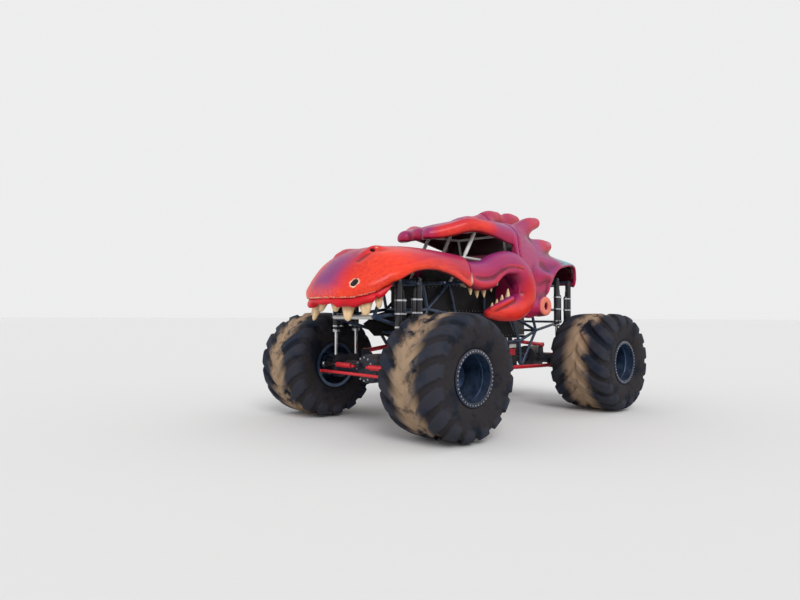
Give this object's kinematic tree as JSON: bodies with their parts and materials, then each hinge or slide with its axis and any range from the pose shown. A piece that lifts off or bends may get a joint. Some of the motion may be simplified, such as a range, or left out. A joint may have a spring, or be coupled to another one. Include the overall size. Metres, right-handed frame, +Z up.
{
  "type": "monster truck",
  "caption": "Tall four-wheel-drive show truck on huge lugged tyres, with a tube frame, steered axles and a horned beast-head body shell.",
  "frame": {"origin": "on the ground, under the middle of the truck's length and width", "axes": "+X forward, +Y to the truck's left, +Z up"},
  "size_m": [5.68, 3.84, 3.4635],
  "materials": {
    "body_red": "candy red clear coat",
    "gum_red": "bright red gloss",
    "ivory": "ivory tooth enamel",
    "frame_blue": "blue-black powder coat",
    "cage_white": "pale grey paint",
    "axle_black": "satin black",
    "steering_red": "red powder coat",
    "shock_black": "gloss black",
    "chrome_rod": "polished chrome",
    "engine_grey": "cast",
    "tank_alloy": "brushed",
    "panel_black": "matt black",
    "seat_black": "black vinyl",
    "tyre_rubber": "dusty rubber",
    "rim_blue": "dark blue gloss"
  },
  "bodies": {
    "chassis": {"frame_left": "frame_blue", "frame_right": "frame_blue", "frame_cross": "frame_blue", "cab_cage": "cage_white", "body_mounts": "frame_blue", "snout_shell": "body_red", "upper_gum": "gum_red", "upper_teeth": "ivory", "jaw_left": "body_red", "jaw_right": "body_red", "jaw_teeth": "ivory", "roof_shell": "body_red", "rear_shell": "body_red", "front_axle": "axle_black", "rear_axle": "axle_black", "link_bars": "steering_red", "shock_bodies": "shock_black", "shock_shafts": "chrome_rod", "engine": "engine_grey", "driveline": "engine_grey", "driveshafts": "axle_black", "fuel_cell": "tank_alloy", "seat": "seat_black", "steering_wheel": "seat_black", "dash_panel": "panel_black", "cab_floor": "panel_black", "side_panels": "panel_black"},
    "knuckle_front_left": {"knuckle_front_left": "axle_black"},
    "wheel_front_left": {"tyre_front_left": "tyre_rubber", "rim_front_left": "rim_blue"},
    "ram_cylinder_front_left": {"ram_cylinder_front_left": "steering_red"},
    "ram_rod_front_left": {"ram_rod_front_left": "chrome_rod"},
    "knuckle_front_right": {"knuckle_front_right": "axle_black"},
    "wheel_front_right": {"tyre_front_right": "tyre_rubber", "rim_front_right": "rim_blue"},
    "ram_cylinder_front_right": {"ram_cylinder_front_right": "steering_red"},
    "ram_rod_front_right": {"ram_rod_front_right": "chrome_rod"},
    "knuckle_rear_left": {"knuckle_rear_left": "axle_black"},
    "wheel_rear_left": {"tyre_rear_left": "tyre_rubber", "rim_rear_left": "rim_blue"},
    "ram_cylinder_rear_left": {"ram_cylinder_rear_left": "steering_red"},
    "ram_rod_rear_left": {"ram_rod_rear_left": "chrome_rod"},
    "knuckle_rear_right": {"knuckle_rear_right": "axle_black"},
    "wheel_rear_right": {"tyre_rear_right": "tyre_rubber", "rim_rear_right": "rim_blue"},
    "ram_cylinder_rear_right": {"ram_cylinder_rear_right": "steering_red"},
    "ram_rod_rear_right": {"ram_rod_rear_right": "chrome_rod"},
    "tie_rod_front": {"tie_rod_front": "steering_red"},
    "tie_rod_rear": {"tie_rod_rear": "steering_red"}
  },
  "joints": [
    {"name": "steer_front_left", "type": "hinge", "parent": "chassis", "child": "knuckle_front_left", "pos_m": [1.84, 0.93, 0.82], "axis": [0, 0, 1], "range_deg": [-22, 22]},
    {"name": "wheel_front_left_spin", "type": "hinge", "parent": "knuckle_front_left", "child": "wheel_front_left", "pos_m": [1.84, 1.4, 0.82], "axis": [0, 1, 0], "continuous": true},
    {"name": "ram_swing_front_left", "type": "hinge", "parent": "chassis", "child": "ram_cylinder_front_left", "pos_m": [2.12, 0.16, 0.86], "axis": [0, 0, 1], "range_deg": [-3, 3]},
    {"name": "ram_stroke_front_left", "type": "slide", "parent": "ram_cylinder_front_left", "child": "ram_rod_front_left", "axis": [0, 1, 0], "range_m": [-0.115, 0.115]},
    {"name": "steer_front_right", "type": "hinge", "parent": "chassis", "child": "knuckle_front_right", "pos_m": [1.84, -0.93, 0.82], "axis": [0, 0, 1], "range_deg": [-22, 22]},
    {"name": "wheel_front_right_spin", "type": "hinge", "parent": "knuckle_front_right", "child": "wheel_front_right", "pos_m": [1.84, -1.4, 0.82], "axis": [0, 1, 0], "continuous": true},
    {"name": "ram_swing_front_right", "type": "hinge", "parent": "chassis", "child": "ram_cylinder_front_right", "pos_m": [2.12, -0.16, 0.86], "axis": [0, 0, 1], "range_deg": [-3, 3]},
    {"name": "ram_stroke_front_right", "type": "slide", "parent": "ram_cylinder_front_right", "child": "ram_rod_front_right", "axis": [0, -1, 0], "range_m": [-0.115, 0.115]},
    {"name": "steer_rear_left", "type": "hinge", "parent": "chassis", "child": "knuckle_rear_left", "pos_m": [-2.02, 0.93, 0.82], "axis": [0, 0, 1], "range_deg": [-22, 22]},
    {"name": "wheel_rear_left_spin", "type": "hinge", "parent": "knuckle_rear_left", "child": "wheel_rear_left", "pos_m": [-2.02, 1.4, 0.82], "axis": [0, 1, 0], "continuous": true},
    {"name": "ram_swing_rear_left", "type": "hinge", "parent": "chassis", "child": "ram_cylinder_rear_left", "pos_m": [-2.3, 0.16, 0.86], "axis": [0, 0, 1], "range_deg": [-3, 3]},
    {"name": "ram_stroke_rear_left", "type": "slide", "parent": "ram_cylinder_rear_left", "child": "ram_rod_rear_left", "axis": [0, 1, 0], "range_m": [-0.115, 0.115]},
    {"name": "steer_rear_right", "type": "hinge", "parent": "chassis", "child": "knuckle_rear_right", "pos_m": [-2.02, -0.93, 0.82], "axis": [0, 0, 1], "range_deg": [-22, 22]},
    {"name": "wheel_rear_right_spin", "type": "hinge", "parent": "knuckle_rear_right", "child": "wheel_rear_right", "pos_m": [-2.02, -1.4, 0.82], "axis": [0, 1, 0], "continuous": true},
    {"name": "ram_swing_rear_right", "type": "hinge", "parent": "chassis", "child": "ram_cylinder_rear_right", "pos_m": [-2.3, -0.16, 0.86], "axis": [0, 0, 1], "range_deg": [-3, 3]},
    {"name": "ram_stroke_rear_right", "type": "slide", "parent": "ram_cylinder_rear_right", "child": "ram_rod_rear_right", "axis": [0, -1, 0], "range_m": [-0.115, 0.115]},
    {"name": "tie_rod_front_swing", "type": "hinge", "parent": "knuckle_front_left", "child": "tie_rod_front", "pos_m": [2.2, 0.83, 0.756], "axis": [0, 0, 1], "range_deg": [-26, 26]},
    {"name": "tie_rod_rear_swing", "type": "hinge", "parent": "knuckle_rear_left", "child": "tie_rod_rear", "pos_m": [-2.38, 0.83, 0.756], "axis": [0, 0, 1], "range_deg": [-26, 26]}
  ],
  "couplings": [
    {"joint": "ram_swing_front_left", "follows": "steer_front_left", "ratio": -0.0775},
    {"joint": "ram_stroke_front_left", "follows": "steer_front_left", "m_per_rad": 0.2736},
    {"joint": "steer_front_right", "follows": "steer_front_left", "ratio": 1},
    {"joint": "ram_swing_front_right", "follows": "steer_front_left", "ratio": -0.0775},
    {"joint": "ram_stroke_front_right", "follows": "steer_front_left", "m_per_rad": -0.2736},
    {"joint": "ram_swing_rear_left", "follows": "steer_rear_left", "ratio": -0.0775},
    {"joint": "ram_stroke_rear_left", "follows": "steer_rear_left", "m_per_rad": -0.2736},
    {"joint": "steer_rear_right", "follows": "steer_rear_left", "ratio": 1},
    {"joint": "ram_swing_rear_right", "follows": "steer_rear_left", "ratio": -0.0775},
    {"joint": "ram_stroke_rear_right", "follows": "steer_rear_left", "m_per_rad": 0.2736},
    {"joint": "tie_rod_front_swing", "follows": "steer_front_left", "ratio": -1.117},
    {"joint": "tie_rod_rear_swing", "follows": "steer_rear_left", "ratio": -1.117}
  ]
}
